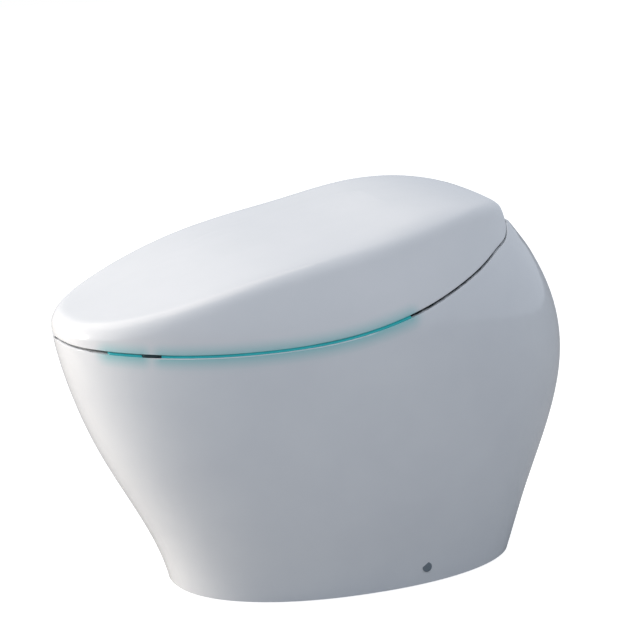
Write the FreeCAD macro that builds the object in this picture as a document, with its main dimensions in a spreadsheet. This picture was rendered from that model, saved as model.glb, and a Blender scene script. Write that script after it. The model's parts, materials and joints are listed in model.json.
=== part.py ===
import FreeCAD, Part
import math
import os
import re

Vector = FreeCAD.Vector
os.makedirs("parts", exist_ok=True)
doc = FreeCAD.newDocument("SmartToilet")

# Driving dimensions in millimetres. +Z is up, the bowl's front looks along -Y and the wall is at +Y.
SIZES = {
    "front_reach": 400, "rear_reach": 400, "half_width": 217, "widest_at": 36,
    "rim_height": 390, "lid_rise": 181, "crown_drop": 14, "shoulder_radius": 26,
    "ceramic_wall": 12, "deck_thickness": 20, "ledge_width": 12, "seam_gap": 4.5,
    "hinge_back": 239, "hinge_height": 536, "nose_radius": 31, "nose_end_radius": 14, "trough_gap": 3,
    "lid_wall": 4, "liner_gap": 2, "liner_wall": 2,
    "bowl_half_width": 136, "bowl_front": 336, "bowl_rear": 46, "bowl_wall": 9, "sump_floor": 92,
    "trap_radius": 26, "trap_wall": 8, "trap_bend": 44, "weir_height": 238, "outlet_back": 105,
    "bay_front": 88, "shelf_height": 290, "shelf_thickness": 12,
    "port_half_width": 78, "port_front": 34, "port_floor": 352,
    "seat_half_width": 190, "seat_front": 380, "seat_rear": 66, "seat_under": 400, "seat_thickness": 24,
    "seat_split": 7, "opening_half_width": 103, "opening_front": 300, "opening_rear": 12,
    "seat_arm_inner": 78, "seat_arm_outer": 91, "lid_arm_inner": 93, "lid_arm_outer": 105,
    "bracket_inner": 60, "bracket_outer": 72, "hub_radius": 12, "pin_radius": 6, "bush_radius": 8,
    "running_clearance": 0.05, "drive_radius": 16, "drive_length": 46,
    "plate_thickness": 6, "plate_gap": 2, "cover_half_width": 77, "cover_wall": 3, "cover_front": 72,
    "wand_radius": 8, "wand_length": 150, "wand_angle": 32, "wand_across": 0, "wand_tip_back": 54,
    "wand_tip_height": 379, "housing_half": 15, "guide_clearance": 0.3,
    "rack_height": 5, "pinion_radius": 8, "tooth_depth": 2, "tooth_pitch": 3.1416,
    "dryer_across": -50, "dryer_radius": 30, "fan_width": 24, "fan_clearance": 2, "shaft_radius": 3,
    "scent_across": 50, "button_radius": 9, "button_travel": 3, "bracket_plate": 4, "bracket_gap": 16, "screw_radius": 4,
    "side_screw_back": 118, "side_screw_height": 27.5, "cap_radius": 7.5, "inlet_radius": 10.4,
    "inlet_across": -95, "inlet_height": 330, "gland_across": -40, "light_front": 353, "light_rear": 60,
    "light_height": 2.6, "light_width": 5, "bumper_back": -304, "bumper_length": 22,
    "bolt_across": 188, "bolt_back": 120, "gland_radius": 9, "window_half_width": 50, "window_low": 396,
    "window_high": 446, "liner_rear": 50, "liner_rise": 14, "mouth_half_width": 72, "mouth_height": 13,
}
sheet = doc.addObject("Spreadsheet::Sheet", "Sizes")
for row, (alias, number) in enumerate(SIZES.items(), start=1):
    sheet.set("A%d" % row, alias)
    sheet.set("B%d" % row, str(number))
    sheet.setAlias("B%d" % row, alias)
doc.recompute()


def size(alias):
    return float(sheet.get(alias))


def bind(item, prop, formula):
    item.setExpression(prop, re.sub(r"[a-z_]{4,}", lambda word: "Sizes." + word.group(0), str(formula)))


def place(item, x, y, z):
    for axis, formula in (("x", x), ("y", y), ("z", z)):
        bind(item, "Placement.Base." + axis, formula)
    return item


def box(label, x, y, z):
    item = doc.addObject("Part::Box", label)
    for prop, (low, high) in (("Length", x), ("Width", y), ("Height", z)):
        bind(item, prop, "(%s) - (%s)" % (high, low))
    return place(item, x[0], y[0], z[0])


TURNS = {"x": FreeCAD.Rotation(Vector(0, 1, 0), 90), "y": FreeCAD.Rotation(Vector(1, 0, 0), -90),
         "z": FreeCAD.Rotation()}


def cylinder(label, radius, axis, at, length):
    item = doc.addObject("Part::Cylinder", label)
    item.Placement.Rotation = TURNS[axis]
    bind(item, "Radius", radius)
    bind(item, "Height", length)
    return place(item, *at)


def boolean(kind, label, first, *others):
    if kind == "Cut":
        for number, other in enumerate(others, start=1):
            item = doc.addObject("Part::Cut", label if number == len(others) else label + "Step")
            item.Base, item.Tool = first, other
            first = item
        return first
    item = doc.addObject("Part::MultiFuse" if kind == "Fuse" else "Part::MultiCommon", label)
    item.Shapes = [first, *others]
    return item


def cut(label, first, *others):
    return boolean("Cut", label, first, *others)


def fuse(label, first, *others):
    return boolean("Fuse", label, first, *others)


def mirrored(item):
    other = doc.addObject("Part::Mirroring", item.Name + "Mirror")
    other.Source, other.Normal = item, (1, 0, 0)
    return other


def group(label, *items):
    item = doc.addObject("Part::Compound", label)
    item.Links = list(items)
    return item


def pair(label, item):
    return group(label, item, mirrored(item))


NODES = {}


def node(name, item):
    item.Label = name
    NODES[name] = item
    return item


def feature(label, shape):
    item = doc.addObject("Part::Feature", label)
    item.Shape = shape
    return item


# The outer form: level outlines of the skirt, then a crowned top over them.
# Each station: height, then the front, rear and width as shares of their reach.
STATIONS = [(0, 0.562, 0.804, 0.714), (70, 0.630, 0.853, 0.778), (145, 0.735, 0.910, 0.864),
            (225, 0.845, 0.972, 0.933), (305, 0.928, 1.0, 0.982), (385, 0.985, 0.968, 1.0),
            (465, 1.0, 0.870, 0.945), (600, 0.985, 0.690, 0.800)]
# The top's centre line: place along the reach, height above the rim as a share of the lid's rise.
TOP_LINE = [(-1.08, 0.13), (-0.75, 0.36), (-0.375, 0.64), (0, 0.824), (0.25, 0.955), (0.45, 1.0),
            (0.625, 0.945), (0.8, 0.80), (1.05, 0.50)]
# The seam between lid and body: distance back, height above the rim.
SEAM = [(-440, 3.5), (-353, 4), (-226, 4.5), (-110, 10), (-35, 18), (43, 35), (112, 57.5), (150, 73),
        (190, 90), (213, 101), (228, 109)]
POINTS_AROUND = 36
FRONT_FULLNESS, REAR_FULLNESS = 2.21, 2.06
BEYOND = 500
HINGE_Y, HINGE_Z = size("hinge_back"), size("hinge_height")


def egg(half_width, front, rear, widest, height, fullness=(FRONT_FULLNESS, REAR_FULLNESS)):
    points = []
    for number in range(POINTS_AROUND):
        turn = 2 * math.pi * number / POINTS_AROUND
        along, across = math.cos(turn), math.sin(turn)
        power = 2 / (fullness[0] if along >= 0 else fullness[1])
        reach = widest - front if along >= 0 else rear - widest
        x = math.copysign(half_width * abs(across) ** power, across)
        y = widest - math.copysign(reach * abs(along) ** power, along)
        points.append(Vector(x, y, height))
    curve = Part.BSplineCurve()
    curve.interpolate(Points=points, PeriodicFlag=True,
                      Parameters=[step / POINTS_AROUND for step in range(POINTS_AROUND + 1)])
    return Part.Wire(curve.toShape())


def loft(wires):
    return Part.makeLoft(wires, True, False, False, 3)


MADE = {}


def once(key, make, *details):
    if key not in MADE:
        MADE[key] = make(*details)
    return MADE[key]


def skirt(inset):
    return once(("skirt", inset), make_skirt, inset)


def make_skirt(inset):
    wires = []
    bottom = -inset
    for height, front, rear, width in STATIONS:
        wires.append(egg(size("half_width") * width - inset, inset - size("front_reach") * front,
                         size("rear_reach") * rear - inset, size("widest_at"),
                         height if height else bottom))
    return loft(wires)


def top_points(across, inset):
    drop = size("crown_drop") * (across / size("half_width")) ** 2 + inset
    return [Vector(across, share * size("rear_reach"), size("rim_height") + size("lid_rise") * rise - drop)
            for share, rise in TOP_LINE]


def under_top(inset):
    wires = []
    for across in (-1.1, -0.55, 0, 0.55, 1.1):
        points = top_points(across * size("half_width"), inset)
        line = Part.BSplineCurve()
        line.interpolate(Points=points, Parameters=[step / (len(points) - 1) for step in range(len(points))])
        corners = [points[-1], Vector(points[-1].x, points[-1].y, -50),
                   Vector(points[0].x, points[0].y, -50), points[0]]
        sides = [Part.LineSegment(a, b).toShape() for a, b in zip(corners, corners[1:])]
        wires.append(Part.Wire([line.toShape(), *sides]))
    return loft(wires)


def pebble(inset):
    return once(("pebble", inset), make_pebble, inset)


def make_pebble(inset):
    sharp = skirt(inset).common(under_top(inset))
    edges = [edge for edge in sharp.Edges if edge.BoundBox.ZMin > size("rim_height") - 20]
    return sharp.makeFillet(size("shoulder_radius") - inset, edges)


# Side outlines, drawn looking along X, that divide the form.
def outline(*pieces):
    return Part.Wire([piece.toShape() for piece in pieces])


def run(*points):
    corners = [Vector(0, y, z) for y, z in points]
    return [Part.LineSegment(a, b) for a, b in zip(corners, corners[1:])]


def on_hinge(radius, degrees):
    turn = math.radians(degrees)
    return HINGE_Y + radius * math.cos(turn), HINGE_Z + radius * math.sin(turn)


def hinge_arc(radius, first, last):
    return Part.Arc(*[Vector(0, *on_hinge(radius, turn)) for turn in (first, (first + last) / 2, last)])


def seam_line(shift):
    points = [Vector(0, y, size("rim_height") + rise + shift) for y, rise in SEAM]
    curve = Part.BSplineCurve()
    curve.interpolate(points)
    return curve, (points[0].y, points[0].z), (points[-1].y, points[-1].z)


def slab(wire, half=BEYOND, middle=0.0):
    face = Part.Face(wire)
    face.translate(Vector(middle - half, 0, 0))
    return face.extrude(Vector(2 * half, 0, 0))


# The lid's rounded end: part of a round nose about the hinge line, closed by a smaller round at the top.
NOSE_START, NOSE_TURN, TROUGH_START = -62, 40, -66


def nose_end(inset, start):
    nose, small = size("nose_radius") - inset, size("nose_end_radius") - inset
    middle = Vector(0, *on_hinge(nose - small, NOSE_TURN))
    turns = [math.radians(turn) for turn in (NOSE_TURN, (NOSE_TURN + 90) / 2, 90)]
    points = [middle + Vector(0, math.cos(turn), math.sin(turn)) * small for turn in turns]
    return [hinge_arc(nose, start, NOSE_TURN), Part.Arc(*points)], (points[-1].y, points[-1].z)


def lid_zone():
    curve, start, end = seam_line(size("seam_gap") / 2)
    arcs, top = nose_end(0, NOSE_START)
    return slab(outline(curve, *run(end, on_hinge(size("nose_radius"), NOSE_START)), *arcs,
                        *run(top, (top[0], 2 * BEYOND), (start[0], 2 * BEYOND), start)))


def lid_hollow_zone(inset):
    arcs, top = nose_end(inset, 0)
    side = on_hinge(size("nose_radius") - inset, 0)
    return slab(outline(*arcs, *run(top, (top[0], 2 * BEYOND), (-BEYOND, 2 * BEYOND), (-BEYOND, 0),
                                    (BEYOND, 0), (BEYOND, HINGE_Z - 1), (side[0], HINGE_Z - 1), side)))


# Behind the lid the body has a narrow land and then falls away to the back.
LIP_TURN, LAND, FALL = -15, 5, 44.5
LIP = on_hinge(size("nose_radius") + size("trough_gap"), LIP_TURN)


def behind_lid(height, lower=0.0):
    return LIP[0] + LAND + (LIP[1] - lower - height) / math.tan(math.radians(FALL)), height


def body_zone():
    curve, start, end = seam_line(-size("seam_gap") / 2)
    trough = size("nose_radius") + size("trough_gap")
    return slab(outline(curve, *run(end, on_hinge(trough, TROUGH_START)), hinge_arc(trough, TROUGH_START, LIP_TURN),
                        *run(LIP, behind_lid(LIP[1]), behind_lid(0), (2 * BEYOND, -BEYOND),
                             (start[0], -BEYOND), start)))


def block(y, z, half=BEYOND):
    return Part.makeBox(2 * half, y[1] - y[0], z[1] - z[0], Vector(-half, y[0], z[0]))


def bent_path(points, bend):
    corners = [Vector(*point) for point in points]
    edges, last = [], corners[0]
    for before, corner, after in zip(corners, corners[1:], corners[2:]):
        back, ahead = (before - corner).normalize(), (after - corner).normalize()
        half_turn = (math.pi - back.getAngle(ahead)) / 2
        reach = bend * math.tan(half_turn)
        first, final = corner + back * reach, corner + ahead * reach
        middle = (back + ahead).normalize()
        inner = corner + middle * (bend / math.cos(half_turn) - bend)
        edges += [Part.LineSegment(last, first).toShape(), Part.Arc(first, inner, final).toShape()]
        last = final
    edges.append(Part.LineSegment(last, corners[-1]).toShape())
    return Part.Wire(edges)


def tube(points, bend, radius):
    path = bent_path(points, bend)
    start = Vector(*points[0])
    ring = Part.Wire(Part.makeCircle(radius, start, Vector(*points[1]) - start))
    return path.makePipeShell([ring], True, False)


# Bowl: level outlines from the rim to the sump, as shares of the rim opening.
BOWL_LEVELS = [(1.02, 1.0, 1.0, 1.0), (0.93, 0.99, 0.995, 1.0), (0.84, 0.95, 0.965, 0.92), (0.73, 0.84, 0.88, 0.78),
               (0.60, 0.66, 0.70, 0.58), (0.48, 0.47, 0.50, 0.34), (0.36, 0.33, 0.335, 0.12)]
TRAP_START = -50


def bowl(grow):
    wires = []
    for level, width, front, rear in BOWL_LEVELS:
        wires.append(egg(size("bowl_half_width") * width + grow, -size("bowl_front") * front - grow,
                         size("bowl_rear") * rear + grow, -70, size("rim_height") * level))
    wires.append(egg(34 + grow, -98 - grow, -6 + grow, -52, size("sump_floor") - grow))
    return loft(wires)


def trap(grow):
    centre = size("sump_floor") + size("trap_radius") + 2
    weir, back = size("weir_height"), size("outlet_back")
    points = [(0, TRAP_START, centre), (0, 22, centre), (0, 88, weir), (0, 172, weir), (0, 158, 120),
              (0, back, 60), (0, back, 8)]
    return tube(points, size("trap_bend"), size("trap_radius") + grow)


def ceramic_body():
    shell, wall = pebble(0).common(body_zone()), size("ceramic_wall")
    rim, shelf = size("rim_height"), size("shelf_height")
    under_rim, under_shelf = rim - size("deck_thickness"), shelf - size("shelf_thickness")
    bay, inner = size("bay_front"), skirt(wall)
    low = block((-BEYOND, bay - wall), (-20, under_rim)).fuse(block((bay - wall, BEYOND), (-20, under_shelf)))
    low = inner.common(low)
    well = inner.common(block((-BEYOND, bay), (rim, 2 * BEYOND)))
    lip_floor = HINGE_Z - size("nose_radius") - size("trough_gap") - wall
    bay_low = skirt(wall + size("ledge_width")).common(block((bay, BEYOND), (shelf, rim)))
    under_fall = [behind_lid(height, wall / math.cos(math.radians(FALL))) for height in (lip_floor, rim)]
    bay_high = inner.common(slab(outline(*run((bay, rim), (bay, lip_floor), *under_fall, (bay, rim)))))
    bay_open = inner.common(block((bay, HINGE_Y + 17), (lip_floor, 2 * BEYOND)))
    shell = shell.cut([low, well, bay_low, bay_high, bay_open])
    window = [rear_window(0, size("cover_wall") + 1), rear_window(8, wall + 5)]
    return shell.cut([bowl(size("bowl_wall")), port(), *window, *ceramic_holes()])


def port():
    half, front, floor = size("port_half_width"), size("port_front"), size("port_floor")
    return Part.makeBox(2 * half, size("bay_front") + 2 - front, 60, Vector(-half, front, floor))


def bowl_basin():
    basin = bowl(size("bowl_wall")).common(block((-BEYOND, BEYOND), (0, size("rim_height"))))
    return basin.cut([bowl(0), trap(0), port()])


def trapway():
    return trap(size("trap_wall")).cut([trap(0), bowl(size("bowl_wall"))])


def surface_at(back, height, inset=0):
    line = Part.makeLine(Vector(0, back, height), Vector(BEYOND, back, height))
    return line.common(skirt(inset)).BoundBox.XMax


def ceramic_holes():
    back, height = size("side_screw_back"), size("side_screw_height")
    face = surface_at(back, height)
    across, deep = Vector(1, 0, 0), size("ceramic_wall") / 3
    holes = []
    for side in (1, -1):
        start = Vector(side * (face - deep), back, height)
        holes.append(Part.makeCylinder(size("cap_radius") + 0.2, 30, start, across * side))
        holes.append(Part.makeCylinder(size("screw_radius") + 0.5, 60, start - across * side * 40, across * side))
        holes.append(Part.makeCylinder(size("screw_radius") + 0.2, 22, Vector(side * size("bolt_across"),
                     size("bolt_back"), size("rim_height") - 20)))
    for name, gap in (("inlet", 0.3), ("gland", 0.05)):
        holes.append(Part.makeCylinder(size(name + "_radius") + gap, 120,
                                       Vector(size(name + "_across"), 300, size("inlet_height")), Vector(0, 1, 0)))
    return holes


def rear_window(shrink, inset):
    half, low, high = (size("window_half_width") - shrink, size("window_low") + shrink, size("window_high") - shrink)
    return Part.makeBox(2 * half, BEYOND, high - low, Vector(-half, 300, low)).cut(skirt(inset))


def rear_cover():
    return rear_window(0.3, size("cover_wall") + 1).common(skirt(1))


node("ceramic_body", feature("CeramicBody", ceramic_body()))
node("bowl_basin", feature("BowlBasin", bowl_basin()))
node("trapway", feature("Trapway", trapway()))
node("rear_cover", feature("RearCover", rear_cover()))


def band(low, high):
    under, start, end = seam_line(low)
    over, top_start, top_end = seam_line(high)
    return slab(outline(under, *run(end, top_end), over, *run(top_start, start)))


def gap_strip(low, high, near, far, y):
    ring = skirt(near).cut(skirt(far)).common(band(low, high))
    return ring.common(block(y, (0, BEYOND)))


def lid_bumpers():
    half = size("bumper_length") / 2
    gap = size("seam_gap") / 2
    return gap_strip(0.3 - gap, gap, 1, 11, (size("bumper_back") - half, size("bumper_back") + half))


def light_guides():
    low = -size("seam_gap") / 2
    half = size("bumper_length") / 2 + 1
    strips = gap_strip(low, low + size("light_height"), 2, 2 + size("light_width"),
                       (-size("light_front"), size("light_rear")))
    return strips.cut(block((size("bumper_back") - half, size("bumper_back") + half), (0, BEYOND)))


node("light_guides", feature("LightGuides", light_guides()))


def lid_shell():
    outer = pebble(0).common(lid_zone())
    return outer.cut(pebble(size("lid_wall")).common(lid_hollow_zone(size("lid_wall"))))


def above_seam(shift):
    curve, start, end = seam_line(shift)
    return slab(outline(curve, *run(end, (end[0], 2 * BEYOND), (start[0], 2 * BEYOND), start)))


def lid_liner():
    near = size("lid_wall")
    far = near + size("liner_wall")
    zone = above_seam(size("liner_rise")).common(block((-BEYOND, size("liner_rear")), (0, 2 * BEYOND)))
    return pebble(near).common(zone).cut(pebble(far))


def hub(radius, inner, outer):
    return Part.makeCylinder(radius, outer - inner, Vector(inner, HINGE_Y, HINGE_Z), Vector(1, 0, 0))


def side_plate(inner, outer, *corners):
    return slab(outline(*run(*corners, corners[0])), (outer - inner) / 2, (outer + inner) / 2)


def both_sides(shape):
    return Part.makeCompound([shape, shape.mirror(Vector(), Vector(1, 0, 0))])


def lid_hinge_arm():
    inner, outer, radius = size("lid_arm_inner"), size("lid_arm_outer"), size("hub_radius")
    front = size("liner_rear") + 8
    bar = side_plate(inner, outer, (front, HINGE_Z - 8), (HINGE_Y, HINGE_Z - radius), (HINGE_Y, HINGE_Z + 60),
                     (front, HINGE_Z + 60))
    bar = bar.common(pebble(size("lid_wall"))).common(lid_hollow_zone(size("lid_wall")))
    bar = bar.fuse(hub(radius, inner, outer))
    return bar.cut(hub(size("bush_radius"), inner - 1, outer + 1)).removeSplitter()


node("lid_shell", feature("LidShell", lid_shell()))
node("lid_liner", feature("LidLiner", lid_liner()))
node("lid_hinge_arms", feature("LidHingeArms", both_sides(lid_hinge_arm())))
node("lid_bumpers", feature("LidBumpers", lid_bumpers()))


# Seat: level outlines of the ring and of its opening, as height over the underside and inset.
SEAT_EDGE = [(0, 6), (3, 1.5), (7, 0), (14, 0.5), (19, 4), (22.5, 11), (24, 22)]
OPENING_EDGE = [(-1, 7), (3, 3), (7, 0), (14, 1), (19, 4.5), (22.5, 10), (25, 18)]
SEAT_FULLNESS = (2.2, 3.2)
SEAT_WIDEST, OPENING_WIDEST = -60, -130


def seat_outline(inset, height):
    return egg(size("seat_half_width") - inset, inset - size("seat_front"), size("seat_rear") - inset, SEAT_WIDEST,
               height, SEAT_FULLNESS)


def opening_outline(grow, height):
    return egg(size("opening_half_width") + grow, -size("opening_front") - grow, grow - size("opening_rear"),
               OPENING_WIDEST, height)


def seat_ring():
    under, thick = size("seat_under"), size("seat_thickness") / 24
    ring = loft([seat_outline(inset, under + rise * thick) for rise, inset in SEAT_EDGE])
    return ring.cut(loft([opening_outline(grow, under + rise * thick) for rise, grow in OPENING_EDGE]))


def ring_plate(inset, low, high):
    deep = Vector(0, 0, high - low)
    outer = Part.Face(seat_outline(inset, low)).extrude(deep)
    return outer.cut(Part.Face(opening_outline(inset, low)).extrude(deep))


SPLIT_HEIGHT = size("seat_under") + size("seat_split")
POCKET_TOP = SPLIT_HEIGHT + 5
ARM_FOOT = size("seat_rear") - 34


def seat_hinge_arm():
    inner, outer, radius = size("seat_arm_inner"), size("seat_arm_outer"), size("hub_radius")
    bar = side_plate(inner, outer, (ARM_FOOT, SPLIT_HEIGHT), (size("seat_rear") + 2, SPLIT_HEIGHT),
                     on_hinge(radius, -52), on_hinge(radius, 128), (ARM_FOOT + 12, SPLIT_HEIGHT + 15))
    bar = bar.fuse(hub(radius, inner, outer))
    return bar.cut(hub(size("bush_radius"), inner - 1, outer + 1)).removeSplitter()


def arm_slots():
    inner, outer = size("seat_arm_inner") - 0.3, size("seat_arm_outer") + 0.3
    slot = Part.makeBox(outer - inner, 100, 60, Vector(inner, ARM_FOOT - 0.3, SPLIT_HEIGHT))
    return both_sides(slot)


ring = seat_ring()
halves = [(-BEYOND, SPLIT_HEIGHT), (SPLIT_HEIGHT, BEYOND)]
seat_base, seat_top = [ring.common(block((-BEYOND, BEYOND), zone)) for zone in halves]
seat_top = seat_top.cut([ring_plate(14, SPLIT_HEIGHT - 2, POCKET_TOP), *arm_slots().Solids])
node("seat_base", feature("SeatBase", seat_base))
node("seat_top", feature("SeatTop", seat_top))
heater_low = POCKET_TOP - 1.2
heater = ring_plate(16, heater_low, POCKET_TOP).cut(block((ARM_FOOT - 8, BEYOND), (0, BEYOND)))
node("seat_heater", feature("SeatHeater", heater))
node("seat_hinge_arms", feature("SeatHingeArms", both_sides(seat_hinge_arm())))
sensor_back = -(size("seat_front") + size("opening_front")) / 2
node("seat_temperature_sensor", box("SeatSensor", (-5, 5), (sensor_back - 4, sensor_back + 4),
                                    (heater_low - 2.5, heater_low)))
pads = []
for across, back in ((128, -215), (140, 20)):
    pads.append(box("SeatPad", ("%s - 8" % across, "%s + 8" % across), ("%s - 15" % back, "%s + 15" % back),
                    ("rim_height + 0.3", "seat_under")))
node("seat_bumpers", group("SeatBumpers", *[pair("PadPair", pad) for pad in pads]))


# Hinge line: fixed pins carried by brackets, bushes in the moving hubs, drives between the brackets.
HINGE_AT = "hinge_back", "hinge_height"


def hinge_cylinder(label, radius, inner, outer):
    return cylinder(label, radius, "x", (inner, *HINGE_AT), "(%s) - (%s)" % (outer, inner))


def bush(label, inner, outer):
    body = hinge_cylinder(label + "Body", "bush_radius", inner, outer)
    bore = hinge_cylinder(label + "Bore", "pin_radius + running_clearance", inner, outer)
    return pair(label, cut(label + "One", body, bore))


node("seat_hinge_bushes", bush("SeatBush", "seat_arm_inner", "seat_arm_outer"))
node("lid_hinge_bushes", bush("LidBush", "lid_arm_inner", "lid_arm_outer"))
node("hinge_pins", pair("HingePins", hinge_cylinder("HingePin", "pin_radius", "bracket_inner", "lid_arm_outer")))


def hinge_bracket():
    inner, outer, radius = size("bracket_inner"), size("bracket_outer"), size("hub_radius")
    top = size("rim_height") + size("plate_thickness")
    rear = HINGE_Y - 13
    plate = side_plate(inner, outer, (rear, HINGE_Z + 5), (rear + 9, HINGE_Z - 12), (rear, HINGE_Z - 24), (rear, top),
                       (rear - 40, top), (rear - 40, top + 8), (rear - 16, HINGE_Z - 36))
    plate = plate.fuse(hub(radius, inner, outer))
    return plate.cut(hub(size("pin_radius"), inner - 1, outer + 1)).removeSplitter()


node("hinge_brackets", feature("HingeBrackets", both_sides(hinge_bracket())))
node("lid_drive_unit", hinge_cylinder("LidDrive", "drive_radius", "bracket_inner - drive_length", "bracket_inner"))
node("seat_drive_unit", hinge_cylinder("SeatDrive", "drive_radius", "-bracket_inner",
                                       "drive_length - bracket_inner"))


# Wash unit: base plate on the ledge, cover over it.
PLATE_TOP = size("rim_height") + size("plate_thickness")
SLOPE_START = (size("cover_front") + 6, size("seat_under") + size("seat_thickness"))
SLOPE_END = on_hinge(size("nose_radius") + size("trough_gap"), 180 + 36)
SLOPE = math.atan2(SLOPE_END[1] - SLOPE_START[1], SLOPE_END[0] - SLOPE_START[0])
SLOPE_NORMAL = Vector(0, -math.sin(SLOPE), math.cos(SLOPE))


def on_slope(across, along):
    return Vector(across, SLOPE_START[0] + along * math.cos(SLOPE), SLOPE_START[1] + along * math.sin(SLOPE))


def panel_plug(across, along, radius, low, high):
    return Part.makeCylinder(radius, high - low, on_slope(across, along) + SLOPE_NORMAL * low, SLOPE_NORMAL)


BUTTON_ALONG, BUTTON_ACROSS, LENS_ALONG = 122, 34, 18


def unit_cover():
    trough, wall, half = size("nose_radius") + size("trough_gap"), size("cover_wall"), size("cover_half_width")
    rear = HINGE_Y + 9
    wire = outline(*run((size("cover_front"), PLATE_TOP), (size("cover_front") + 2, SLOPE_START[1] - 6), SLOPE_START,
                        SLOPE_END), hinge_arc(trough, -144, -80),
                   *run(on_hinge(trough, -80), (rear, HINGE_Z - trough - 4), (rear, PLATE_TOP),
                        (size("cover_front"), PLATE_TOP)))
    shell = slab(wire, half).cut(slab(wire.makeOffset2D(-wall), half - wall))
    floor = Part.makeBox(2 * (half - wall), rear - size("cover_front") - 2 * wall, wall * 2,
                         Vector(wall - half, size("cover_front") + wall, PLATE_TOP - wall))
    mouth = Part.makeBox(2 * size("mouth_half_width"), 12, size("mouth_height"),
                         Vector(-size("mouth_half_width"), size("cover_front") - 4, PLATE_TOP))
    holes = [panel_plug(side * BUTTON_ACROSS, BUTTON_ALONG, size("button_radius") + 0.4, -10, 10) for side in (1, -1)]
    holes.append(panel_plug(0, LENS_ALONG, 6, -10, 10))
    holes.append(panel_plug(0, BUTTON_ALONG, 4, -10, 10))
    gap = size("guide_clearance")
    inner, outer = size("bracket_inner") - gap, size("bracket_outer") + gap
    bracket_slot = Part.makeBox(outer - inner, 60, 60, Vector(inner, HINGE_Y - 32, HINGE_Z - 50))
    return shell.cut([floor, mouth, *both_sides(bracket_slot).Solids, *holes])


def base_plate():
    plate = skirt(size("ceramic_wall") + size("plate_gap"))
    plate = plate.common(block((size("seat_rear") + 2, HINGE_Y + 40), (size("rim_height"), PLATE_TOP)))
    slot = Part.makeBox(2 * size("mouth_half_width"), 60, 20,
                        Vector(-size("mouth_half_width"), 50, size("rim_height") - 5))
    holes = [Part.makeCylinder(size("screw_radius") + 0.2, 20, Vector(side * size("bolt_across"), size("bolt_back"),
             size("rim_height") - 5)) for side in (1, -1)]
    hose = Part.makeCylinder(6, 20, Vector(*HOSE_END[:2], size("rim_height") - 5))
    return plate.cut([slot, hose, *holes])


HOSE_START = (size("inlet_across"), 270, 340)
HOSE_END = (50, 222, PLATE_TOP)
node("unit_base_plate", feature("UnitBasePlate", base_plate()))
node("unit_cover", feature("UnitCover", unit_cover()))
bolt = fuse("UnitBolt", cylinder("BoltShank", "screw_radius", "z", ("bolt_across", "bolt_back", "rim_height - 18"),
                                 "18 + plate_thickness"),
            cylinder("BoltHead", "screw_radius + 3", "z",
                     ("bolt_across", "bolt_back", "rim_height + plate_thickness"), 5))
node("unit_bolts", pair("UnitBolts", bolt))


def button(label, across):
    low, high = -size("cover_wall") - 5, 1.5
    return feature(label, panel_plug(across, BUTTON_ALONG, size("button_radius"), low, high))


node("power_button", button("PowerButton", -BUTTON_ACROSS))
node("flush_button", button("FlushButton", BUTTON_ACROSS))
node("occupancy_sensor", feature("OccupancySensor", panel_plug(0, LENS_ALONG, 6, -8, 0.5)))
node("indicator_lens", feature("IndicatorLens", panel_plug(0, BUTTON_ALONG, 4, -4, 0.4)))
switches = [panel_plug(side * BUTTON_ACROSS, BUTTON_ALONG, 5, -size("cover_wall") - 5 - size("button_travel") - 6.3,
                       -size("cover_wall") - 5 - size("button_travel") - 0.3) for side in (1, -1)]


def key_board():
    base = size("cover_wall") + 5 + size("button_travel") + 6.3
    long, wide, thin = 2 * BUTTON_ACROSS + 36, 16, 2
    board = Part.makeBox(long, wide, thin, Vector(-long / 2, -wide / 2, -base - thin))
    board.rotate(Vector(), Vector(1, 0, 0), math.degrees(SLOPE))
    board.translate(on_slope(0, BUTTON_ALONG))
    posts = [panel_plug(side * (long / 2 - 3), BUTTON_ALONG, 2.5, -base, -size("cover_wall")) for side in (1, -1)]
    return board.fuse([*switches, *posts])


node("key_board", feature("KeyBoard", key_board()))


# Wand group, drawn lying along Y with its tip at the origin, then tilted and placed.
TILT = FreeCAD.Rotation(Vector(1, 0, 0), size("wand_angle"))
WAND_PLACE = FreeCAD.Placement(Vector(size("wand_across"), size("wand_tip_back"), size("wand_tip_height")), TILT)


def tilted(label, shape, placement):
    item = feature(label, shape)
    item.Placement = placement
    return item


def placed(shape, placement):
    moved = shape.copy()
    moved.Placement = placement.multiply(moved.Placement)
    return moved


def along_y(radius, start, end, across=0.0, up=0.0):
    return Part.makeCylinder(radius, end - start, Vector(across, start, up), Vector(0, 1, 0))


TIP_LENGTH, RACK_START = 14, 20
PINION_BACK = 28
PITCH_LINE = size("wand_radius") + size("tooth_depth") * 1.5
PINION_ACROSS = PITCH_LINE + size("pinion_radius")


def wand_nozzle():
    tip = along_y(size("wand_radius"), 0, TIP_LENGTH)
    tip = tip.makeFillet(2.5, [edge for edge in tip.Edges if edge.BoundBox.YMax < 0.1])
    jets = [Part.makeCylinder(0.8, 20, Vector(across, back, 0)) for across, back in ((-2, 7), (2, 7), (0, 10))]
    return tip.cut(jets)


def wand_tube():
    tube_shape = along_y(size("wand_radius"), TIP_LENGTH, size("wand_length"))
    return tube_shape.cut(along_y(size("wand_radius") - 2.5, TIP_LENGTH + 4, size("wand_length") + 1))


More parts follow.
